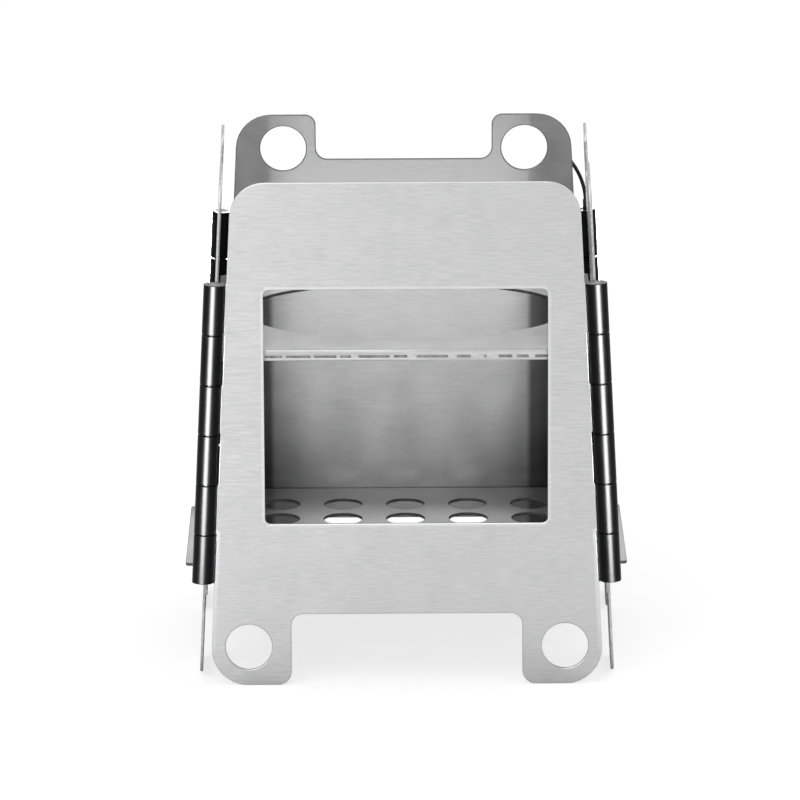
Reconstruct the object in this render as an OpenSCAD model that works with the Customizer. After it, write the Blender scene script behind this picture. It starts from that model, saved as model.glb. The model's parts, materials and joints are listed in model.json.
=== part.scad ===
// Folding sheet-metal camping stove: four leaning panels joined by barrel hinges at the
// corners, a perforated floor plate and an upper pot plate held in slots of the side panels.
// Millimetres, +Z up, +Y to the back. The origin is on the ground, under the middle.

/* [Frame] */
// Height of the panels above the ground
height = 130; // [110:1:160]
// Width of the front and back panels at the ground
base_w = 100; // [90:1:130]
// Width of the side panels at the ground
base_d = 80; // [72:1:110]
// Height at which the four leaning corner lines would meet
apex_h = 1060; // [700:10:2000]
// Thickness of the sheet
sheet = 0.8; // [0.5:0.1:1.2]
// Degrees by which the side panels close in towards the front, between their hinges
side_turn = 0.8; // [0:0.1:1.2]

/* [Feet] */
// Width of a foot at the ground, from the panel's edge
foot_w = 20.7; // [16:0.1:24]
// Height of the notch between the feet
foot_h = 18.6; // [15:0.1:22]
// Radius of a foot's outer corner
foot_outer_r = 9.4; // [4:0.1:12]
// Radius of a foot's inner corner
foot_inner_r = 3.6; // [1:0.1:5]
// Radius in the corners of the notch
foot_notch_r = 3; // [1:0.1:5]
// Diameter of the hole in a foot
foot_hole_d = 11.8; // [6:0.1:13]
// Distance of a foot's hole from the panel's outer edge
foot_hole_inset = 9.4; // [8:0.1:12]
// Height of a foot's hole
foot_hole_z = 10; // [8:0.1:11]

/* [Lugs] */
// Distance of a lug's inner edge from the panel's outer edge
lug_w = 20.5; // [16:0.1:26]
// Depth of the recess between the lugs
lug_h = 12; // [8:0.1:16]
// Radius of a lug's outer corner
lug_outer_r = 9.2; // [4:0.1:11]
// Radius of a lug's inner corner
lug_inner_r = 2.8; // [0.5:0.1:4]
// Radius in the corners of the recess
lug_recess_r = 3; // [0.5:0.1:4]
// Diameter of the hole in a lug
lug_hole_d = 12; // [6:0.1:13]
// Distance of a lug's hole from the panel's outer edge
lug_hole_inset = 12.4; // [8:0.1:13]
// Distance of a lug's hole from the top
lug_hole_drop = 9.1; // [8:0.1:10]

/* [Front panel] */
// Radius of the two upper corners
front_top_r = 8.8; // [2:0.1:14]
// Width of the window
window_w = 71.3; // [50:0.1:76]
// Height of the window
window_h = 60.4; // [40:0.1:70]
// Height of the window's lower edge
window_sill = 42.2; // [38:0.1:50]
// Radius of the window's corners
window_r = 1.4; // [0.5:0.1:6]

/* [Hinges] */
// Outer diameter of a hinge barrel
barrel_d = 5.4; // [4.4:0.1:6.5]
// Diameter of a hinge pin
pin_d = 3; // [2:0.1:3.6]
// Height of a hinge's lower end
hinge_z = 27; // [24:0.5:32]
// Height of a hinge from end to end
hinge_h = 77; // [60:0.5:84]
// Gap between one knuckle and the next
knuckle_gap = 0.35; // [0.3:0.05:0.6]
// Gap between a panel's edge and the neighbour's knuckles
leaf_gap = 0.3; // [0.3:0.05:0.6]
// Running clearance of a pin in its knuckles, on the radius
pin_clearance = 0.05; // [0.02:0.01:0.1]
// Diameter of the thin tail under a pin
tail_d = 0.95; // [0.6:0.05:1.2]
// Length of the tail under a pin
tail_l = 3.2; // [1:0.1:5]
// Distance of the tail from the pin's centre line
tail_offset = 0.9; // [0:0.1:1]
// Diameter of the locking pin's wire hook
hook_d = 1; // [0.6:0.1:1.4]
// Straight length of the hook above the pin
hook_stem = 2.5; // [1:0.1:5]
// Diameter of the collar round that length
hook_collar_d = 1.5; // [1.2:0.1:2]
// Radius of the hook's bend
hook_r = 15; // [8:0.5:16]
// Angle through which the hook is bent
hook_bend = 62; // [40:1:70]
// Direction of the bend, seen from above and counted from the right
hook_turn = 150; // [140:1:160]

/* [Floor plate] */
// Height of the floor plate's upper face
floor_z = 27; // [24:0.5:34]
// Distance that a wing stands out beyond its side panel
wing_out = 4.4; // [2:0.1:6]
// Length of a wing
wing_l = 51; // [40:0.5:60]
// Radius of a wing's corners
wing_r = 1; // [0.5:0.1:4.4]
// Diameter of a hole in the floor plate
floor_hole_d = 10; // [6:0.1:11]
// Distance between holes, side to side
floor_pitch_x = 16.4; // [13:0.1:18]
// Distance between holes, front to back
floor_pitch_y = 13.2; // [12:0.1:15]
// Holes in a row
floor_columns = 5; // [3:1:5]
// Rows of holes
floor_rows = 5; // [3:1:5]
// Radius of the floor plate's corners
floor_corner_r = 2; // [1:0.1:4]

/* [Upper plate] */
// Height of the upper plate's upper face
upper_z = 87; // [84:0.5:96]
// Width of the opening in the upper plate
opening_w = 82; // [70:0.5:84]
// Depth of the opening in the upper plate
opening_d = 58.6; // [50:0.2:62]
// Radius of the opening's long arcs
opening_arc_r = 52.7; // [45:0.1:80]
// Height of the front lip
lip_h = 2.9; // [1.5:0.1:5]
// Width of one of the four tabs
tab_w = 9; // [5:0.5:12]
// Distance of the tabs from the middle
tab_at = 20; // [14:0.5:22]
// Radius of the upper plate's corners
upper_corner_r = 2; // [1:0.1:4]

/* [Hidden] */
// Clearance of a plate's edge from the panels round it
plate_gap = 0.35;
// Clearance round a wing or a tab in its slot
slot_gap = 0.4;
// How far every cut runs past what it cuts
over = 1;
// Facets of a rounded corner, and of a full circle
corner_steps = 8;
$fn = 64;

// Half distances between the hinge lines at the ground
hinge_inset = barrel_d / 2 + leaf_gap;
// The leaning feet are drawn this much too long and cut level with the ground
foot_trim = sheet * base_w / apex_h;
hinge_x = base_w / 2 + hinge_inset;
hinge_y = base_d / 2 + hinge_inset;
corner_l = norm([hinge_x, hinge_y, apex_h]);
corner_tilt = acos(apex_h / corner_l);

// Knuckles, counted from the top of a hinge; the odd ones sit on the front or back panel
knuckle_count = 6;
hinge_l = hinge_h * corner_l / apex_h;
hinge_start = hinge_z * corner_l / apex_h;
knuckle_pitch = (hinge_l + knuckle_gap) / knuckle_count;
knuckle_l = knuckle_pitch - knuckle_gap;

bore_d = pin_d + 2 * pin_clearance;
metal = "silver";
dark_metal = [0.16, 0.16, 0.17];
pin_metal = [0.45, 0.45, 0.46];

// Signs of the corners in X and Y
FL = [-1, -1];
FR = [1, -1];
BL = [-1, 1];
BR = [1, 1];

// Half width of a panel at a height, and half distance of the inner faces there
function half_at(hinge_half, z) = hinge_half * (1 - z / apex_h);
function edge_at(hinge_half, z) = half_at(hinge_half, z) - hinge_inset;
function inner_at(hinge_half, z) = half_at(hinge_half, z) - sheet / 2;

// Points of an outline whose corners [x, y, r] are rounded, one after the other
function unit(v) = v / norm(v);
function turn_of(a, b) = a[0] * b[1] - a[1] * b[0];
function corner_points(before, here, after) =
    let (
        p = [here[0], here[1]],
        a = unit([before[0], before[1]] - p),
        b = unit([after[0], after[1]] - p),
        half = acos(a * b) / 2,
        centre = p + unit(a + b) * here[2] / sin(half),
        first = p + a * here[2] / tan(half) - centre,
        sweep = (180 - 2 * half) * sign(turn_of(-a, b))
    )
    here[2] == 0 ? [p] : [
        for (i = [0 : corner_steps])
            let (t = sweep * i / corner_steps)
            centre + [first[0] * cos(t) - first[1] * sin(t), first[0] * sin(t) + first[1] * cos(t)]
    ];
function rounded(points) = [
    for (i = [0 : len(points) - 1])
        each corner_points(points[(i + len(points) - 1) % len(points)], points[i],
                           points[(i + 1) % len(points)])
];
function mirrored(points) = [for (i = [len(points) - 1 : -1 : 0]) [-points[i][0], points[i][1], points[i][2]]];

// How far a side panel stands out past its middle line at a distance to the back
function drift(y) = y * tan(side_turn);

// Puts a panel drawn flat, with its foot line on X, in its leaning plane on one side
module in_plane(quarter, out, turn) {
    rotate([0, 0, quarter * 90])
        translate([0, -out, 0])
            rotate([0, 0, turn])
                rotate([90 - atan(out / apex_h), 0, 0])
                    children();
}

// A corner's own frame: Z runs up the hinge line from the ground
module at_corner(corner) {
    translate([corner[0] * hinge_x, corner[1] * hinge_y, 0])
        rotate([0, corner_tilt, atan2(-corner[1] * hinge_y, -corner[0] * hinge_x)])
            children();
}

// Distance along the hinge line of a knuckle's lower end
function knuckle_start(k) = hinge_start + (knuckle_count - k) * knuckle_pitch;

// The right half of a panel's outline, going up from the notch to the top
function foot_points(half) = [
    [edge_at(half, 0) - foot_w, foot_h, foot_notch_r],
    [edge_at(half, 0) - foot_w, -foot_trim, foot_inner_r],
    [edge_at(half, 0), -foot_trim, foot_outer_r]
];
function lug_points(half) = [
    [edge_at(half, height), height, lug_outer_r],
    [edge_at(half, height) - lug_w, height, lug_inner_r],
    [edge_at(half, height) - lug_w, height - lug_h, lug_recess_r]
];
function plain_top_points(half) = [[edge_at(half, height), height, front_top_r]];

module outline(half, top_points) {
    right = concat(foot_points(half), top_points);
    polygon(rounded(concat(right, mirrored(right))));
}

// Holes in both feet, and in both lugs
module foot_holes(half) {
    for (side = [-1, 1])
        translate([side * (edge_at(half, foot_hole_z) - foot_hole_inset), foot_hole_z, 0])
            cylinder(d = foot_hole_d, h = sheet + 2 * over, center = true);
}
module lug_holes(half) {
    z = height - lug_hole_drop;
    for (side = [-1, 1])
        translate([side * (edge_at(half, z) - lug_hole_inset), z, 0])
            cylinder(d = lug_hole_d, h = sheet + 2 * over, center = true);
}

// Tongues that join a panel's edge to its own knuckles, every second one from the first
module tongues(half, first) {
    for (side = [-1, 1], k = [first : 2 : knuckle_count])
        let (z = knuckle_start(k) * apex_h / corner_l, h = knuckle_l * apex_h / corner_l)
            linear_extrude(sheet, center = true)
                polygon([
                    [side * (edge_at(half, z) - over), z],
                    [side * half_at(half, z), z],
                    [side * half_at(half, z + h), z + h],
                    [side * (edge_at(half, z + h) - over), z + h]
                ]);
}

// Takes the barrels of two corners out of a panel's tongues
module barrel_cuts(corners) {
    for (corner = corners)
        at_corner(corner)
            translate([0, 0, hinge_start - over])
                cylinder(d = barrel_d, h = hinge_l + 2 * over);
}

module panel(quarter, out, turn, half, top_points, first, corners, lugs) {
    difference() {
        in_plane(quarter, out, turn)
            difference() {
                union() {
                    linear_extrude(sheet, center = true)
                        outline(half, top_points);
                    tongues(half, first);
                }
                foot_holes(half);
                if (lugs) lug_holes(half);
            }
        barrel_cuts(corners);
        translate([-base_w, -base_w, -over])
            cube([2 * base_w, 2 * base_w, over]);
    }
}

module front_panel() {
    color(metal)
        difference() {
            panel(0, hinge_y, 0, hinge_x, plain_top_points(hinge_x), 1, [FL, FR], false);
            in_plane(0, hinge_y, 0)
                linear_extrude(sheet + 2 * over, center = true)
                    polygon(rounded([
                        [-window_w / 2, window_sill, window_r],
                        [window_w / 2, window_sill, window_r],
                        [window_w / 2, window_sill + window_h, window_r],
                        [-window_w / 2, window_sill + window_h, window_r]
                    ]));
        }
}

module back_panel() {
    color(metal)
        panel(2, hinge_y, 0, hinge_x, lug_points(hinge_x), 1, [BL, BR], true);
}

module side_panel(quarter, turn, corners) {
    color(metal)
        difference() {
            panel(quarter, hinge_x, turn, hinge_y, lug_points(hinge_y), 2, corners, true);
            wings(slot_gap);
            tabs(slot_gap);
        }
}
module left_panel() {
    side_panel(3, side_turn, [FL, BL]);
}
module right_panel() {
    side_panel(1, -side_turn, [FR, BR]);
}

// One knuckle: a short tube on its corner's line
module knuckle(corner, k) {
    color(dark_metal)
        at_corner(corner)
            translate([0, 0, knuckle_start(k)])
                difference() {
                    cylinder(d = barrel_d, h = knuckle_l);
                    translate([0, 0, -over])
                        cylinder(d = bore_d, h = knuckle_l + 2 * over);
                }
}

// A pin as long as its hinge, with the thin tail below it on the side of the front panel
module pin(corner) {
    color(pin_metal)
        union() {
            at_corner(corner)
                translate([0, 0, hinge_start])
                    cylinder(d = pin_d, h = hinge_l);
            at_corner(corner)
                rotate([0, 0, -atan2(-corner[1] * hinge_y, -corner[0] * hinge_x)])
                    translate([-corner[0] * tail_offset, 0, hinge_start - tail_l])
                        cylinder(d = tail_d, h = tail_l + over);
        }
}

// The back right pin has no tail but a bent wire on top, to draw it out by
module locking_pin() {
    turn = hook_turn - atan2(-hinge_y, -hinge_x);
    color(pin_metal)
        at_corner(BR)
            translate([0, 0, hinge_start])
                union() {
                    cylinder(d = pin_d, h = hinge_l);
                    translate([0, 0, hinge_l - over])
                        cylinder(d = hook_collar_d, h = hook_stem + over);
                    rotate([0, 0, turn])
                        translate([hook_r, 0, hinge_l + hook_stem])
                            rotate([90, 0, 0])
                                rotate([0, 0, 180 - hook_bend])
                                    rotate_extrude(angle = hook_bend)
                                        translate([hook_r, 0])
                                            circle(d = hook_d);
                }
}

// Corners of a plate between the side panels, half x and half y in size at its middle
function plate_points(x, y, front_r, back_r) = [
    [-x + drift(y), -y, front_r], [x - drift(y), -y, front_r],
    [x + drift(y), y, back_r], [-x - drift(y), y, back_r]
];

// Room for the four barrels in a plate's corners, from its upper face at z down
module barrel_room(z, depth) {
    for (corner = [FL, FR, BL, BR])
        translate([corner[0] * half_at(hinge_x, z), corner[1] * half_at(hinge_y, z), z - depth - over])
            cylinder(d = barrel_d + 2 * plate_gap, h = depth + 2 * over);
}

// The floor plate's wings, grown by a clearance where they cut the slots
module wings(gap) {
    reach = inner_at(hinge_x, floor_z) + sheet + wing_out;
    translate([0, 0, floor_z - sheet - gap])
        linear_extrude(sheet + 2 * gap)
            polygon(rounded([
                [-reach - gap, -wing_l / 2 - gap, wing_r],
                [reach + gap, -wing_l / 2 - gap, wing_r],
                [reach + gap, wing_l / 2 + gap, wing_r],
                [-reach - gap, wing_l / 2 + gap, wing_r]
            ]));
}

module floor_plate() {
    x = inner_at(hinge_x, floor_z) - plate_gap;
    y = inner_at(hinge_y, floor_z) - plate_gap;
    color(metal)
        difference() {
            union() {
                wings(0);
                translate([0, 0, floor_z - sheet])
                    linear_extrude(sheet)
                        polygon(rounded(plate_points(x, y, floor_corner_r, floor_corner_r)));
            }
            for (i = [0 : floor_columns - 1], j = [0 : floor_rows - 1])
                translate([(i - (floor_columns - 1) / 2) * floor_pitch_x,
                           (j - (floor_rows - 1) / 2) * floor_pitch_y,
                           floor_z - sheet - over])
                    cylinder(d = floor_hole_d, h = sheet + 2 * over);
            barrel_room(floor_z, sheet);
        }
}

// The upper plate's four tabs, grown by a clearance where they cut the slots. They end
// level with the side panels' outer faces.
module tabs(gap) {
    for (at = [-tab_at, tab_at])
        let (reach = inner_at(hinge_x, upper_z) + sheet + drift(at) + (gap > 0 ? over : 0))
            translate([-reach, at - tab_w / 2 - gap, upper_z - sheet - gap])
                cube([2 * reach, tab_w + 2 * gap, sheet + 2 * gap]);
}

// A four-centred oval: two long arcs and two end arcs that run into them
module oval(w, d, arc_r) {
    rise = arc_r - d / 2;
    end_r = (arc_r * arc_r - w * w / 4 - rise * rise) / (2 * (arc_r - w / 2));
    end_x = w / 2 - end_r;
    meet_x = end_x * arc_r / (arc_r - end_r);
    union() {
        intersection() {
            translate([0, rise])
                circle(r = arc_r, $fn = 96);
            translate([0, -rise])
                circle(r = arc_r, $fn = 96);
            square([2 * meet_x, d], center = true);
        }
        for (side = [-1, 1])
            translate([side * end_x, 0])
                circle(r = end_r);
    }
}

module upper_plate() {
    x = inner_at(hinge_x, upper_z) - plate_gap;
    y = inner_at(hinge_y, upper_z) - plate_gap;
    color(metal)
        difference() {
            union() {
                tabs(0);
                translate([0, 0, upper_z - sheet])
                    linear_extrude(sheet)
                        polygon(rounded(plate_points(x, y, 0, upper_corner_r)));
                translate([-x + drift(y), -y, upper_z - lip_h])
                    cube([2 * (x - drift(y)), sheet, lip_h]);
            }
            translate([0, 0, upper_z - sheet - over])
                linear_extrude(sheet + 2 * over)
                    oval(opening_w, opening_d, opening_arc_r);
            barrel_room(upper_z, lip_h);
        }
}

front_panel();
back_panel();
left_panel();
right_panel();
floor_plate();
upper_plate();
pin(FL);  // front_left_pin
pin(FR);  // front_right_pin
pin(BL);  // back_left_pin
locking_pin();
for (k = [1 : knuckle_count]) {
    knuckle(FL, k);
    knuckle(FR, k);
    knuckle(BL, k);
    knuckle(BR, k);
}
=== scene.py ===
"""A folding pocket stove of brushed sheet metal with glossy hinge barrels, whose
near-black colour is painted dark reflection.
"""
import json
import math
import random

import bmesh
import bpy
from mathutils import Euler, Matrix, Vector

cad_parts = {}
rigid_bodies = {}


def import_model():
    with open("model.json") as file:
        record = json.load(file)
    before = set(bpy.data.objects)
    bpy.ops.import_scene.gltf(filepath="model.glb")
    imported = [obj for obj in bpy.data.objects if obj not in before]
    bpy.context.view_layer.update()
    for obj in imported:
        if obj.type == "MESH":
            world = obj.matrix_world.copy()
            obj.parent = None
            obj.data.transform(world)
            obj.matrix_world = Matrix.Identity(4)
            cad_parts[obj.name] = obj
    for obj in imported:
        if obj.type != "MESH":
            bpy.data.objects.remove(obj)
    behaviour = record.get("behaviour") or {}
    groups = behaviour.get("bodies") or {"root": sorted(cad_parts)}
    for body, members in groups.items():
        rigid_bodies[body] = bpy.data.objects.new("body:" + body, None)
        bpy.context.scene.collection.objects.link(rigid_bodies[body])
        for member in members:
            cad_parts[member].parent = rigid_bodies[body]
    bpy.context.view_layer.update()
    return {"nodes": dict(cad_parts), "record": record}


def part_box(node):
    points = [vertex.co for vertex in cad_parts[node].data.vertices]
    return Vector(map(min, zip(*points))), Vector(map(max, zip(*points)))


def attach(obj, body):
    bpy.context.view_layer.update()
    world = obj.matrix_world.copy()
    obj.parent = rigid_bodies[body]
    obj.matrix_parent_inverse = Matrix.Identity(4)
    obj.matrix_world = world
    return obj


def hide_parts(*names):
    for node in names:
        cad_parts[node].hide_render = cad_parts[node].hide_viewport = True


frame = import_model()

body_of_node = {
    node: body
    for body, nodes in frame["record"]["behaviour"]["bodies"].items()
    for node in nodes
}

X, Y, Z = 0, 1, 2


def link(thing):
    bpy.context.scene.collection.objects.link(thing)


# ---------------------------------------------------------------- camera

CAMERA_AIM = Vector((-0.00137, 0, 0.06287))
CAMERA_DISTANCE = 1.5406
CAMERA_ELEVATION = math.radians(15.657)
CAMERA_AZIMUTH = math.radians(-0.18)
CAMERA_ROLL = math.radians(-0.25)
CAMERA_LENS = 268.45
CAMERA_SENSOR = 36
CAMERA_NEAR, CAMERA_FAR = 0.05, 40


def place_camera():
    lens = bpy.data.cameras.new("camera")
    lens.lens = CAMERA_LENS
    lens.sensor_width = CAMERA_SENSOR
    lens.clip_start = CAMERA_NEAR
    lens.clip_end = CAMERA_FAR
    camera = bpy.data.objects.new("camera", lens)
    level = math.cos(CAMERA_ELEVATION) * CAMERA_DISTANCE
    camera.location = CAMERA_AIM + Vector(
        (
            level * math.sin(CAMERA_AZIMUTH),
            -level * math.cos(CAMERA_AZIMUTH),
            math.sin(CAMERA_ELEVATION) * CAMERA_DISTANCE,
        )
    )
    upright = Euler((math.pi / 2 - CAMERA_ELEVATION, 0, CAMERA_AZIMUTH)).to_matrix()
    rolled = upright @ Matrix.Rotation(CAMERA_ROLL, 3, "Z")
    camera.rotation_euler = rolled.to_euler()
    link(camera)
    bpy.context.scene.camera = camera


place_camera()


# ---------------------------------------------------------------- node helpers

COLOUR_A, COLOUR_B, MIXED_COLOUR = 6, 7, 2


def add(tree, kind, inputs=None, **settings):
    """A node with its settings and the values or links of its sockets."""
    made = tree.nodes.new(kind)
    for name, value in settings.items():
        setattr(made, name, value)
    for socket, value in (inputs or {}).items():
        if isinstance(value, bpy.types.NodeSocket):
            tree.links.new(value, made.inputs[socket])
        else:
            made.inputs[socket].default_value = value
    return made


def calculate(tree, operation, *values):
    made = add(tree, "ShaderNodeMath", dict(enumerate(values)), operation=operation)
    return made.outputs[0]


def between(tree, share, least, most):
    """A value that runs from least to most as share runs from 0 to 1."""
    limits = {"Value": share, "To Min": least, "To Max": most}
    return add(tree, "ShaderNodeMapRange", limits).outputs["Result"]


def blend(tree, share, first, second):
    """A colour that runs from first to second as share runs from 0 to 1."""
    colours = {"Factor": share, COLOUR_A: first, COLOUR_B: second}
    made = add(tree, "ShaderNodeMix", colours, data_type="RGBA")
    return made.outputs[MIXED_COLOUR]


def bumped(tree, height, depth):
    relief = {"Height": height, "Distance": depth, "Strength": 1.0}
    return add(tree, "ShaderNodeBump", relief).outputs["Normal"]


def place_group(tree, group, inputs):
    return add(tree, "ShaderNodeGroup", inputs, node_tree=group)


def new_group(name, inputs, outputs):
    tree = bpy.data.node_groups.new(name, "ShaderNodeTree")
    for socket, kind, value in inputs:
        made = tree.interface.new_socket(socket, in_out="INPUT", socket_type=kind)
        if value is not None:
            made.default_value = value
    for socket, kind in outputs:
        tree.interface.new_socket(socket, in_out="OUTPUT", socket_type=kind)
    return tree, tree.nodes.new("NodeGroupInput"), tree.nodes.new("NodeGroupOutput")


def new_material(name):
    material = bpy.data.materials.new(name)
    material.use_nodes = True
    tree = material.node_tree
    tree.nodes.clear()
    surface = tree.nodes.new("ShaderNodeBsdfPrincipled")
    output = tree.nodes.new("ShaderNodeOutputMaterial")
    tree.links.new(surface.outputs["BSDF"], output.inputs["Surface"])
    return material, tree, surface


# ---------------------------------------------------------------- effects

CLOUD_RANGE = (0.3, 0.7)

# Places between which the painted shade sets in, in metres: outwards, up or back.
BAND_EDGE = (0.0330, 0.0350)
BAND_SHIFT = 0.0011
BAND_HEAD = (0.112, 0.100)
BAND_LEFT_OVER = 0.4
LOW_DOWN = (0.056, 0.030)
OUTWARD = (0.008, 0.036)
FAR_BACK = (0.010, 0.030)
HIGH_UP = (0.098, 0.112)


def make_brushing():
    """Short straight scratches along one direction of the sheet, and hair-fine ones
    between. The first give the tone, and the second the height."""
    tree, given, out = new_group(
        "brushing",
        [
            ("Vector", "NodeSocketVector", None),
            ("Stretch", "NodeSocketVector", (1, 1, 1)),
            ("Hair Stretch", "NodeSocketVector", (1, 1, 1)),
        ],
        [("Tone", "NodeSocketFloat"), ("Height", "NodeSocketFloat")],
    )
    for stretch, detail, result in (
        ("Stretch", 2.0, "Tone"),
        ("Hair Stretch", 1.0, "Height"),
    ):
        drawn = add(
            tree,
            "ShaderNodeVectorMath",
            {0: given.outputs["Vector"], 1: given.outputs[stretch]},
            operation="MULTIPLY",
        )
        marks = add(
            tree,
            "ShaderNodeTexNoise",
            {
                "Vector": drawn.outputs[0],
                "Scale": 1.0,
                "Detail": detail,
                "Roughness": 0.5,
            },
        )
        tree.links.new(marks.outputs["Fac"], out.inputs[result])
    return tree


def make_clouding():
    """Soft uneven patches, as a handled sheet has."""
    tree, given, out = new_group(
        "clouding",
        [("Vector", "NodeSocketVector", None), ("Size", "NodeSocketFloat", 60.0)],
        [("Cloud", "NodeSocketFloat")],
    )
    wide = add(
        tree,
        "ShaderNodeTexNoise",
        {
            "Vector": given.outputs["Vector"],
            "Scale": given.outputs["Size"],
            "Detail": 3.0,
        },
    )
    spread = add(
        tree,
        "ShaderNodeMapRange",
        {
            "Value": wide.outputs["Fac"],
            "From Min": CLOUD_RANGE[0],
            "From Max": CLOUD_RANGE[1],
        },
    )
    tree.links.new(spread.outputs["Result"], out.inputs["Cloud"])
    return tree


def make_painted_shade():
    """Painted shade and painted reflection on a sheet round the fire: upright dark
    bands beside the side panels, painted for the reflection of shaded inner faces, low
    corners darkest and a floor darker towards the back, both as painted shade, and a
    head of the sheet that is a little darker again."""
    shares = ("Bands", "Low", "Corners", "Back", "Above")
    tree, given, out = new_group(
        "painted_shade",
        [
            ("Vector", "NodeSocketVector", None),
            *((share, "NodeSocketFloat", 0.0) for share in shares),
        ],
        [("Tone", "NodeSocketFloat")],
    )
    place = add(tree, "ShaderNodeSeparateXYZ", {"Vector": given.outputs["Vector"]})

    def ramp(value, limits, least=0.0):
        made = add(
            tree,
            "ShaderNodeMapRange",
            {
                "Value": value,
                "From Min": limits[0],
                "From Max": limits[1],
                "To Min": least,
            },
            interpolation_type="SMOOTHSTEP",
        )
        return made.outputs["Result"]

    def times(first, second):
        return calculate(tree, "MULTIPLY", first, second)

    def less(share):
        return calculate(tree, "SUBTRACT", 1.0, share)

    across, depth, height = (place.outputs[axis] for axis in "XYZ")
    outward = calculate(tree, "ABSOLUTE", across)
    aside = calculate(tree, "ABSOLUTE", calculate(tree, "ADD", across, BAND_SHIFT))
    beside = times(ramp(aside, BAND_EDGE), ramp(height, BAND_HEAD, BAND_LEFT_OVER))
    bands = times(beside, given.outputs["Bands"])
    far_out = times(ramp(outward, OUTWARD), given.outputs["Corners"])
    shaded_low = calculate(tree, "ADD", far_out, given.outputs["Low"])
    corners = times(ramp(height, LOW_DOWN), shaded_low)
    behind = times(ramp(depth, FAR_BACK), given.outputs["Back"])
    above = times(ramp(height, HIGH_UP), given.outputs["Above"])
    tone = less(bands)
    for share in (corners, behind, above):
        tone = times(tone, less(share))
    tree.links.new(tone, out.inputs["Tone"])
    return tree


brushing = make_brushing()
clouding = make_clouding()
painted_shade = make_painted_shade()


# ---------------------------------------------------------------- finishes

# A painted highlight on the front panel's edges, mixed towards this pale colour.
EDGE_HIGHLIGHT = "painted_edge_highlight"
PAINTED_HIGHLIGHT = (0.86, 0.86, 0.862, 1)
BLACK = (0, 0, 0, 1)

# Scratches to the metre, along them and across them.
GRAIN = (260, 3300)
SHEET_HAIRS = (60, 13000)
BARREL_HAIRS = (60, 5200)

# Patches to the metre, and how far they show in a sheet's tone.
SHEET_CLOUDS = 130.0
BARREL_CLOUDS = 160.0
WIRE_CLOUDS = 900.0
CLOUD_IN_TONE = 0.22
TONE_RANGE = (0.3, 0.92)

# Roughness varies by these shares. A panel stays under 0.27 all over, and a plate or
# barrel over 0.28, because thin lines show where a surface crosses what lies between.
SHEET_GLOSS = (0.85, 1.12)
WIRE_GLOSS = (0.8, 1.2)
PANEL_GLOSS, PANEL_DEPTH = 0.24, 0.000010
PLATE_GLOSS, PLATE_DEPTH = 0.33, 0.000002
BARREL_GLOSS, BARREL_DEPTH = (0.28, 0.33), 0.000001
BARREL_SPECULAR = 0.06


def by_axis(axis, along, across):
    """One number for the axis across the scratches, and another for the other two."""
    return tuple(across if one == axis else along for one in (X, Y, Z))


def sheet_finish(name, dark, light, axis, roughness, depth, painted_shade_shares=None):
    """Brushed sheet metal. Its gloss is drawn out along axis, across the scratches, and
    its edges are given a painted highlight where the piece's own edge highlight says
    so."""
    material, tree, surface = new_material(name)
    place = add(tree, "ShaderNodeTexCoord").outputs["Object"]
    streaks = place_group(
        tree,
        brushing,
        {
            "Vector": place,
            "Stretch": by_axis(axis, *GRAIN),
            "Hair Stretch": by_axis(axis, *SHEET_HAIRS),
        },
    )
    patches = place_group(tree, clouding, {"Vector": place, "Size": SHEET_CLOUDS})
    cloud = patches.outputs["Cloud"]
    uneven = calculate(
        tree, "MULTIPLY_ADD", cloud, CLOUD_IN_TONE, streaks.outputs["Tone"]
    )
    share = add(
        tree,
        "ShaderNodeMapRange",
        {"Value": uneven, "From Min": TONE_RANGE[0], "From Max": TONE_RANGE[1]},
    )
    shown = blend(tree, share.outputs["Result"], (*dark, 1), (*light, 1))
    # Painted highlight: the edge highlight blends the tone towards pale.
    highlit = add(tree, "ShaderNodeAttribute", attribute_name=EDGE_HIGHLIGHT)
    shown = blend(tree, highlit.outputs["Fac"], shown, PAINTED_HIGHLIGHT)
    # The shares, if given, darken the tone towards black as painted shade and painted
    # reflection.
    if painted_shade_shares:
        tone = place_group(tree, painted_shade, {"Vector": place, **painted_shade_shares})
        shown = blend(tree, tone.outputs["Tone"], BLACK, shown)
    least, most = SHEET_GLOSS
    gloss = between(tree, cloud, roughness * least, roughness * most)
    relief = bumped(tree, streaks.outputs["Height"], depth)
    drawn = add(tree, "ShaderNodeCombineXYZ", dict(enumerate(by_axis(axis, 0, 1))))
    turned = add(
        tree,
        "ShaderNodeVectorTransform",
        {"Vector": drawn.outputs[0]},
        vector_type="VECTOR",
        convert_from="OBJECT",
        convert_to="WORLD",
    )
    tree.links.new(shown, surface.inputs["Base Color"])
    tree.links.new(gloss, surface.inputs["Roughness"])
    tree.links.new(relief, surface.inputs["Normal"])
    tree.links.new(turned.outputs[0], surface.inputs["Tangent"])
    surface.inputs["Anisotropic"].default_value = 1.0
    surface.inputs["Metallic"].default_value = 1.0
    return material


def barrel_finish():
    """Polished tube with faint turning marks. Its near-black colour is a painted
    reflection of dark surroundings.
    """
    material, tree, surface = new_material("tube_painted_dark")
    place = add(tree, "ShaderNodeTexCoord").outputs["Object"]
    rings = place_group(
        tree,
        brushing,
        {"Vector": place, "Hair Stretch": by_axis(Z, *BARREL_HAIRS)},
    )
    patches = place_group(tree, clouding, {"Vector": place, "Size": BARREL_CLOUDS})
    cloud = patches.outputs["Cloud"]
    # Painted reflection: near-black stands for the dark surroundings that polished
    # metal mirrors.
    colour = blend(tree, cloud, (0.002, 0.002, 0.0025, 1), (0.005, 0.005, 0.006, 1))
    relief = bumped(tree, rings.outputs["Height"], BARREL_DEPTH)
    gloss = between(tree, cloud, *BARREL_GLOSS)
    tree.links.new(colour, surface.inputs["Base Color"])
    tree.links.new(gloss, surface.inputs["Roughness"])
    tree.links.new(relief, surface.inputs["Normal"])
    surface.inputs["Specular IOR Level"].default_value = BARREL_SPECULAR
    return material


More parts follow.
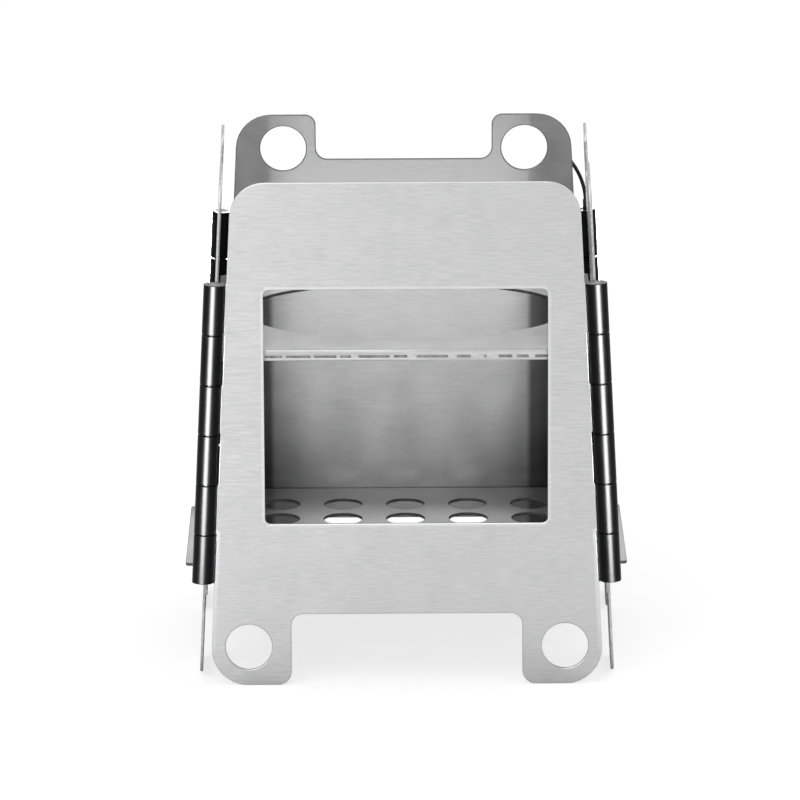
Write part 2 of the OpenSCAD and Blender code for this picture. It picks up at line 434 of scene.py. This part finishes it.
def wire_finish(name, dark, light, roughness):
    """Drawn wire or a cut end: bare metal with small uneven marks. For the hole walls
    and the hem's lip face, the dark colours given are painted shade.
    """
    material, tree, surface = new_material(name)
    place = add(tree, "ShaderNodeTexCoord").outputs["Object"]
    patches = place_group(tree, clouding, {"Vector": place, "Size": WIRE_CLOUDS})
    cloud = patches.outputs["Cloud"]
    colour = blend(tree, cloud, (*dark, 1), (*light, 1))
    least, most = WIRE_GLOSS
    gloss = between(tree, cloud, roughness * least, roughness * most)
    tree.links.new(colour, surface.inputs["Base Color"])
    tree.links.new(gloss, surface.inputs["Roughness"])
    surface.inputs["Metallic"].default_value = 1.0
    return material


panel_metal = sheet_finish(
    "panel_metal",
    (0.53, 0.53, 0.532),
    (0.64, 0.64, 0.642),
    Z,
    PANEL_GLOSS,
    PANEL_DEPTH,
)


def inner_finish(name, painted_shade_shares):
    """The side of a panel that faces the fire."""
    pale, paler = (0.74, 0.74, 0.742), (0.86, 0.86, 0.862)
    return sheet_finish(name, pale, paler, Z, PANEL_GLOSS, PANEL_DEPTH, painted_shade_shares)


# The back panel's inner face gets painted shade: dark bands for reflection, darker low
# corners and head.
back_inner_metal = inner_finish(
    "back_inner_metal", {"Bands": 0.68, "Low": 0.24, "Corners": 0.38, "Above": 0.2}
)
# The side panels' inner faces get painted shade low down, and are darker at the head.
side_inner_metal = inner_finish("side_inner_metal", {"Low": 0.35, "Above": 0.2})


def plate_finish(name, painted_shade_shares=None):
    """The plates are brushed from side to side, and lie level."""
    dark, light = (0.56, 0.56, 0.562), (0.66, 0.66, 0.662)
    return sheet_finish(name, dark, light, Y, PLATE_GLOSS, PLATE_DEPTH, painted_shade_shares)


plate_metal = plate_finish("plate_metal")
# The floor plate gets painted shade, darker towards the back.
floor_plate_metal = plate_finish("floor_plate_metal", {"Back": 0.55})
barrel_metal = barrel_finish()
cut_metal = wire_finish("cut_metal", (0.12, 0.12, 0.125), (0.24, 0.24, 0.245), 0.45)
side_edge_metal = wire_finish(
    "side_edge_metal", (0.44, 0.44, 0.445), (0.7, 0.7, 0.705), 0.4
)
# Painted shade: the hole walls are near-black to stand for their shade.
hole_metal = wire_finish("hole_metal", (0.08, 0.08, 0.082), (0.17, 0.17, 0.172), 0.5)
# Paler metal only on the top knuckles' upward ends: painted light, a lit copy of the
# tube's metal.
end_metal = wire_finish("end_metal", (0.12, 0.12, 0.122), (0.35, 0.35, 0.355), 0.35)
pin_metal = wire_finish("pin_metal", (0.26, 0.26, 0.27), (0.46, 0.46, 0.47), 0.35)
hook_metal = wire_finish(
    "hook_metal", (0.015, 0.015, 0.016), (0.05, 0.05, 0.052), 0.22
)
# Painted shade: the recessed lip face behind the hem's slit is darkened for its shade.
slit_metal = wire_finish("slit_metal", (0.14, 0.14, 0.14), (0.40, 0.40, 0.40), 0.45)


# ---------------------------------------------------------------- sheets and tubes

WINDOW_HALF_WIDTH = 0.03565
WINDOW_SILL = 0.0422
WINDOW_HEAD = 0.1026

# How far the cut edges are rounded over, and the width of the front panel's bright rim.
FRONT_ROUNDING = 0.00022
PANEL_ROUNDING = 0.00026
PLATE_ROUNDING = 0.00014
BARREL_ROUNDING = 0.00010
RIM = 0.001

# Sizes of a face normal's part along an axis: flat on it, facing it, or cut across it.
FLAT, FACING, CUT = 0.99, 0.9, 0.4
FRONT_LEAST = 0.2

MERGE = 2e-6
SAME_PLANE = math.radians(0.5)
SHARP = math.radians(50)
SHEET_SMOOTHING, TUBE_SMOOTHING, PIN_SMOOTHING, HEM_SMOOTHING = 50, 18, 30, 40

# How bright the painted highlight on the front panel's edges is, and less so near the
# feet.
WINDOW_HIGHLIGHT, CORNER_HIGHLIGHT, SIDE_HIGHLIGHT = 0.5, 0.6, 0.75
FOOT_CORNER_HIGHLIGHT, FOOT_SIDE_HIGHLIGHT = 0.1, 0.35
FOOT_TOP = 0.03
ON_THE_LINE = 0.0004
BESIDE_WINDOW = 0.004
LINE_END = 0.001

# How far behind the upper plate's front its lip's face and that face's edges reach.
LIP_FACE, LIP_EDGES = 0.0001, 0.0003


def smooth_over(mesh, angle, thin=None):
    """Round faces shade smoothly. The flat sides of a sheet, across thin, stay flat."""
    mesh.set_sharp_from_angle(angle=math.radians(angle))
    for face in mesh.polygons:
        face.use_smooth = thin is None or abs(face.normal[thin]) < FLAT


def finished_piece(shape, name, materials, angle, thin=None):
    mesh = bpy.data.meshes.new(name)
    shape.to_mesh(mesh)
    shape.free()
    for material in materials:
        mesh.materials.append(material)
    smooth_over(mesh, angle, thin)
    piece = bpy.data.objects.new(name, mesh)
    link(piece)
    return piece


def outer_faces(shape):
    return [face for face in shape.faces if face.normal.y < -FLAT]


def cut_rim(shape, width):
    """Cut the front panel's face along lines just inside its sides and its window, so
    that the painted highlight fades over that width. Gives the long side's ends."""
    beyond_window = WINDOW_HALF_WIDTH + BESIDE_WINDOW
    sides = [
        edge
        for face in outer_faces(shape)
        for edge in face.edges
        if min(vert.co.x for vert in edge.verts) > beyond_window
    ]
    longest = max(sides, key=lambda edge: edge.calc_length())
    foot, head = sorted((vert.co.copy() for vert in longest.verts), key=lambda co: co.z)
    bmesh.ops.triangulate(
        shape, faces=outer_faces(shape), quad_method="BEAUTY", ngon_method="BEAUTY"
    )
    rise, run = head.z - foot.z, foot.x - head.x
    cuts = []
    for side in (-1, 1):
        across = Vector((side * rise, 0, run)).normalized()
        cuts.append((Vector((side * foot.x, 0, foot.z)) - across * width, across))
        for half in (WINDOW_HALF_WIDTH, WINDOW_HALF_WIDTH + width):
            cuts.append((Vector((side * half, 0, 0)), Vector((1, 0, 0))))
    for height in (
        WINDOW_SILL - width,
        WINDOW_SILL,
        WINDOW_HEAD,
        WINDOW_HEAD + width,
        foot.z + LINE_END,
        head.z - LINE_END,
    ):
        cuts.append((Vector((0, 0, height)), Vector((0, 0, 1))))
    for place, normal in cuts:
        faces = outer_faces(shape)
        edges = {edge for face in faces for edge in face.edges}
        verts = {vert for face in faces for vert in face.verts}
        bmesh.ops.bisect_plane(
            shape,
            geom=[*faces, *edges, *verts],
            dist=MERGE / 2,
            plane_co=place,
            plane_no=normal,
        )
    # The triangles above are listed in another order each run, so all are sorted here.
    by_place = sorted(shape.faces, key=lambda face: [vert.co[:] for vert in face.verts])
    for number, face in enumerate(by_place):
        face.index = number
    shape.faces.sort()
    return foot, head


def paint_front_edge_highlight(shape, edge_light, width):
    """The front panel's rounded edges and its long sides get a painted highlight, for
    the light they catch.
    """
    foot, head = cut_rim(shape, width)
    for vert in shape.verts:
        fronts = [face.normal.y for face in vert.link_faces]
        if min(fronts) > -FRONT_LEAST:
            continue
        in_window = (
            abs(vert.co.x) < WINDOW_HALF_WIDTH + ON_THE_LINE
            and WINDOW_SILL - ON_THE_LINE < vert.co.z < WINDOW_HEAD + ON_THE_LINE
        )
        up = (vert.co.z - foot.z) / (head.z - foot.z)
        side = foot.lerp(head, up).x - ON_THE_LINE
        at_side = 0 <= up <= 1 and abs(vert.co.x) > side
        rounded_over = any(-FLAT <= y < -FRONT_LEAST for y in fronts)
        near_foot = vert.co.z < FOOT_TOP
        if in_window and rounded_over:
            vert[edge_light] = WINDOW_HIGHLIGHT
        elif at_side:
            vert[edge_light] = FOOT_SIDE_HIGHLIGHT if near_foot else SIDE_HIGHLIGHT
        elif rounded_over and min(fronts) > -FLAT:
            vert[edge_light] = FOOT_CORNER_HIGHLIGHT if near_foot else CORNER_HIGHLIGHT


def softened(node, width, materials, thin, pick, edge_pick, rim=None):
    """A copy of a sheet or tube with its cut edges rounded over. thin is the axis
    across a sheet. pick gives a face its material by its normal and centre, and
    edge_pick does it for the rounded edges. rim is the width of the bright rim."""
    shape = bmesh.new()
    shape.from_mesh(frame["nodes"][node].data)
    bmesh.ops.remove_doubles(shape, verts=shape.verts, dist=MERGE)
    bmesh.ops.dissolve_limit(
        shape, angle_limit=SAME_PLANE, verts=shape.verts, edges=shape.edges
    )
    for face in shape.faces:
        face.material_index = pick(face.normal, face.calc_center_median())
    sharp = [
        edge
        for edge in shape.edges
        if len(edge.link_faces) == 2 and edge.calc_face_angle() > SHARP
    ]
    rounded = bmesh.ops.bevel(
        shape,
        geom=sharp,
        offset=width,
        offset_type="OFFSET",
        segments=2,
        profile=0.5,
        affect="EDGES",
        clamp_overlap=False,
        material=-1,
    )
    for face in rounded["faces"]:
        face.material_index = edge_pick(face.normal, face.calc_center_median())
    # A painted edge highlight per vertex, left at 0 unless rim is given.
    edge_light = shape.verts.layers.float.new(EDGE_HIGHLIGHT)
    if rim:
        paint_front_edge_highlight(shape, edge_light, rim)
    angle = TUBE_SMOOTHING if thin is None else SHEET_SMOOTHING
    piece = finished_piece(shape, node + "_finished", materials, angle, thin)
    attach(piece, body_of_node[node])
    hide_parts(node)


def refinish(node, material):
    solid = frame["nodes"][node]
    solid.data.materials.clear()
    solid.data.materials.append(material)
    smooth_over(solid.data, PIN_SMOOTHING)


def always(number):
    return lambda normal, centre: number


def by_side(thin, inward):
    """A panel's material numbers: 0 outside, 1 where it is cut, 2 towards the fire."""

    def pick(normal, centre):
        if abs(normal[thin]) < CUT:
            return 1
        return 2 if normal[thin] * inward > FACING else 0

    return pick


def finish_panels():
    softened(
        "front_panel",
        FRONT_ROUNDING,
        [panel_metal, cut_metal, side_inner_metal],
        Y,
        by_side(Y, 1),
        lambda normal, centre: 0 if normal.y < -FRONT_LEAST else 1,
        RIM,
    )
    for node, thin, inward, cut, inner in (
        ("back_panel", Y, -1, cut_metal, back_inner_metal),
        ("left_panel", X, 1, side_edge_metal, side_inner_metal),
        ("right_panel", X, -1, side_edge_metal, side_inner_metal),
    ):
        softened(
            node,
            PANEL_ROUNDING,
            [panel_metal, cut, inner],
            thin,
            by_side(thin, inward),
            always(1),
        )


def finish_plates():
    low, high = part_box("upper_plate")
    softened(
        "floor_plate",
        PLATE_ROUNDING,
        [floor_plate_metal, hole_metal],
        Z,
        lambda normal, centre: 1 if abs(normal.z) < CUT else 0,
        always(1),
    )

    def on_upper_plate(normal, centre):
        if abs(normal.z) > CUT:
            return 0
        return 2 if centre.y < low.y + LIP_FACE else 1

    softened(
        "upper_plate",
        PLATE_ROUNDING,
        [plate_metal, cut_metal, slit_metal],
        Z,
        on_upper_plate,
        lambda normal, centre: 0 if centre.y < low.y + LIP_EDGES else 1,
    )


def finish_hinges():
    for node in sorted(frame["nodes"]):
        if "_knuckle_" in node:
            top = node.endswith("_1")
            softened(
                node,
                BARREL_ROUNDING,
                [barrel_metal, end_metal],
                None,
                # Only the top knuckles' upward ends get the paler metal, as painted
                # light on the top.
                lambda normal, centre, top=top: int(top and normal.z > FACING),
                always(0),
            )
        elif node.endswith("_pin"):
            refinish(node, hook_metal if node == "locking_pin" else pin_metal)


# ---------------------------------------------------------------- hem

HEM_SHORT = 0.0012
HEM_OUT, HEM_IN = 0.00024, 0.0002
SLIT_FROM, SLIT_TO = 0.25, 0.45
UPPER_HEM_ROUNDING, LOWER_HEM_ROUNDING, WELD_ROUNDING = 0.0003, 0.00028, 0.00006
WELD_OUT, WELD_IN, WELD_LAP = 0.00018, 0.0001, 0.0002
FIRST_WELD, LAST_WELD = 0.003, 0.002
WELD_SEED = 7
WELD_WIDTH = (0.0008, 0.0034)
WELD_STEP = (0.0035, 0.0105)


def box_piece(low, high, rounding):
    shape = bmesh.new()
    bmesh.ops.create_cube(shape, size=1)
    low, high = Vector(low), Vector(high)
    bmesh.ops.scale(shape, vec=high - low, verts=shape.verts)
    bmesh.ops.translate(shape, vec=(low + high) / 2, verts=shape.verts)
    bmesh.ops.bevel(
        shape,
        geom=shape.edges,
        offset=rounding,
        offset_type="OFFSET",
        segments=2,
        profile=0.5,
        affect="EDGES",
        material=-1,
    )
    return shape


def set_on_plate(shape, name):
    piece = finished_piece(shape, name, [plate_metal], HEM_SMOOTHING)
    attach(piece, "front")


def add_hem():
    """The upper plate's front edge is folded under. Two rounded edges show, one above
    the other, with small stitch welds across the slit between them, whose dark lip face
    is painted shade."""
    low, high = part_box("upper_plate")
    half = high.x - HEM_SHORT
    front, back = low.y - HEM_OUT, low.y + HEM_IN
    slit_top = low.z + (high.z - low.z) * SLIT_TO
    slit_bottom = low.z + (high.z - low.z) * SLIT_FROM
    upper = box_piece(
        (-half, front, slit_top), (half, back, high.z), UPPER_HEM_ROUNDING
    )
    set_on_plate(upper, "hem_upper_edge")
    lower = box_piece(
        (-half, front, low.z), (half, back, slit_bottom), LOWER_HEM_ROUNDING
    )
    set_on_plate(lower, "hem_lower_edge")
    chance = random.Random(WELD_SEED)
    at = -half + FIRST_WELD
    number = 1
    while at < half - LAST_WELD:
        wide = chance.uniform(*WELD_WIDTH)
        weld = box_piece(
            (at - wide / 2, low.y - WELD_OUT, slit_bottom - WELD_LAP),
            (at + wide / 2, low.y + WELD_IN, slit_top + WELD_LAP),
            WELD_ROUNDING,
        )
        set_on_plate(weld, "hem_weld_" + str(number))
        at += chance.uniform(*WELD_STEP)
        number += 1


finish_panels()
finish_plates()
finish_hinges()
add_hem()


# ---------------------------------------------------------------- floor and world

FLOOR_HALF_SIZE = 12
FLOOR_DROP = 0.00005
FLOOR_GREY = (0.42, 0.42, 0.42, 1)
FLOOR_GLOW = 0.72
FLOOR_SHADE_REACH = 0.09
FLOOR_SHADE_POWER = 2.0
FLOOR_SHADE_SAMPLES = 8
WORLD_LIGHT = 0.62


def shown_white(tree):
    """1 for what the camera, a mirror or glass looks at, and 0 for what only lights the
    object."""
    path = add(tree, "ShaderNodeLightPath").outputs
    seen = calculate(tree, "MAXIMUM", path["Is Camera Ray"], path["Is Glossy Ray"])
    return calculate(tree, "MAXIMUM", seen, path["Is Transmission Ray"])


def lay_floor():
    """A pale floor that shows as white, and in the metal a little darker nearby."""
    shape = bmesh.new()
    bmesh.ops.create_grid(shape, x_segments=1, y_segments=1, size=FLOOR_HALF_SIZE)
    mesh = bpy.data.meshes.new("floor")
    shape.to_mesh(mesh)
    shape.free()
    floor = bpy.data.objects.new("floor", mesh)
    floor.location.z = -FLOOR_DROP
    link(floor)
    material = bpy.data.materials.new("floor_white")
    material.use_nodes = True
    tree = material.node_tree
    tree.nodes.clear()
    cloth = add(tree, "ShaderNodeBsdfDiffuse", {"Color": FLOOR_GREY})
    path = add(tree, "ShaderNodeLightPath")
    around = add(
        tree,
        "ShaderNodeAmbientOcclusion",
        {"Distance": FLOOR_SHADE_REACH},
        samples=FLOOR_SHADE_SAMPLES,
    )
    near = calculate(tree, "POWER", around.outputs["AO"], FLOOR_SHADE_POWER)
    seen = between(tree, path.outputs["Is Camera Ray"], near, 1.0)
    lift = calculate(tree, "MULTIPLY", shown_white(tree), seen)
    lift = calculate(tree, "MULTIPLY", lift, FLOOR_GLOW)
    glow = add(tree, "ShaderNodeEmission", {"Strength": lift})
    both = add(tree, "ShaderNodeAddShader", {0: cloth.outputs[0], 1: glow.outputs[0]})
    output = tree.nodes.new("ShaderNodeOutputMaterial")
    tree.links.new(both.outputs[0], output.inputs["Surface"])
    mesh.materials.append(material)


def light_world():
    world = bpy.data.worlds.new("studio")
    bpy.context.scene.world = world
    world.use_nodes = True
    tree = world.node_tree
    tree.nodes.clear()
    level = between(tree, shown_white(tree), WORLD_LIGHT, 1.0)
    sky = add(tree, "ShaderNodeBackground", {"Strength": level})
    output = tree.nodes.new("ShaderNodeOutputWorld")
    tree.links.new(sky.outputs[0], output.inputs["Surface"])


# ---------------------------------------------------------------- lamps

# Where the strip lamps aim at the corner hinges, and where and how large they are.
HINGE_ACROSS, HINGE_ALONG, HINGE_HEIGHT = 0.053, 0.043, 0.05
STRIP_ACROSS, STRIP_ALONG, STRIP_DISTANCE = 0.2, 0.98, 0.135
STRIP_WIDTH, STRIP_HEIGHT, STRIP_POWER = 0.09, 0.14, 10.5


def hang_lamp(name, place, aim, size, power, height=None):
    data = bpy.data.lights.new(name, "AREA")
    data.shape = "RECTANGLE"
    data.size = size
    data.size_y = height or size
    data.energy = power
    lamp = bpy.data.objects.new(name, data)
    lamp.location = place
    aimed = (Vector(aim) - Vector(place)).to_track_quat("-Z", "Y")
    lamp.rotation_euler = aimed.to_euler()
    link(lamp)
    return lamp


def gather(name, pieces):
    group = bpy.data.collections.new(name)
    for piece in pieces:
        group.objects.link(piece)
    return group


def light_all_but(lamp, name, pieces):
    group = gather(name, pieces)
    for member in group.collection_objects:
        member.light_linking.link_state = "EXCLUDE"
    lamp.light_linking.receiver_collection = group


def light_only(lamp, name, pieces):
    lamp.light_linking.receiver_collection = gather(name, pieces)
    lamp.visible_camera = False


def barrels_of(corner):
    return [
        piece
        for piece in bpy.context.scene.objects
        if piece.name.startswith(corner + "_knuckle_")
        and piece.name.endswith("_finished")
    ]


def hang_strips():
    """A tall strip lamp before each column of barrels, which lights only those."""
    for corner, across, along in (
        ("front_left", -1, -1),
        ("front_right", 1, -1),
        ("back_left", -1, 1),
        ("back_right", 1, 1),
    ):
        hinge = Vector((across * HINGE_ACROSS, along * HINGE_ALONG, HINGE_HEIGHT))
        outward = Vector((across * STRIP_ACROSS, along * STRIP_ALONG, 0))
        strip = hang_lamp(
            corner + "_strip",
            hinge + outward * STRIP_DISTANCE,
            hinge,
            STRIP_WIDTH,
            STRIP_POWER,
            STRIP_HEIGHT,
        )
        light_only(strip, corner + "_barrels", barrels_of(corner))
        strip.visible_diffuse = False
        strip.visible_transmission = False


def hang_room_lamps():
    """Two large soft lamps, which pass the dark barrels by."""
    corners = ("back_left", "back_right", "front_left", "front_right")
    barrels = [piece for corner in corners for piece in barrels_of(corner)]
    for name, place, size, power in (
        ("key", (-0.9, -1.5, 1.7), 2.6, 26),
        ("fill", (1.3, 0.7, 1.6), 2.4, 10),
    ):
        lamp = hang_lamp(name, place, (0, 0, 0.05), size, power)
        light_all_but(lamp, name + "_passes", barrels)


def hang_side_softbox():
    """A low soft lamp from the left, which makes the front panel paler on that side."""
    place, aim = (-0.37, -1.2, 0.08), (0, -0.04, 0.06)
    width, height, power = 0.6, 0.3, 0.8
    lamp = hang_lamp("side_softbox", place, aim, width, power, height)
    light_only(lamp, "side_lit", [bpy.data.objects["front_panel_finished"]])


lay_floor()
light_world()
hang_room_lamps()
hang_strips()
hang_side_softbox()


# ---------------------------------------------------------------- settings and close

bpy.context.scene.view_settings.view_transform = "Standard"
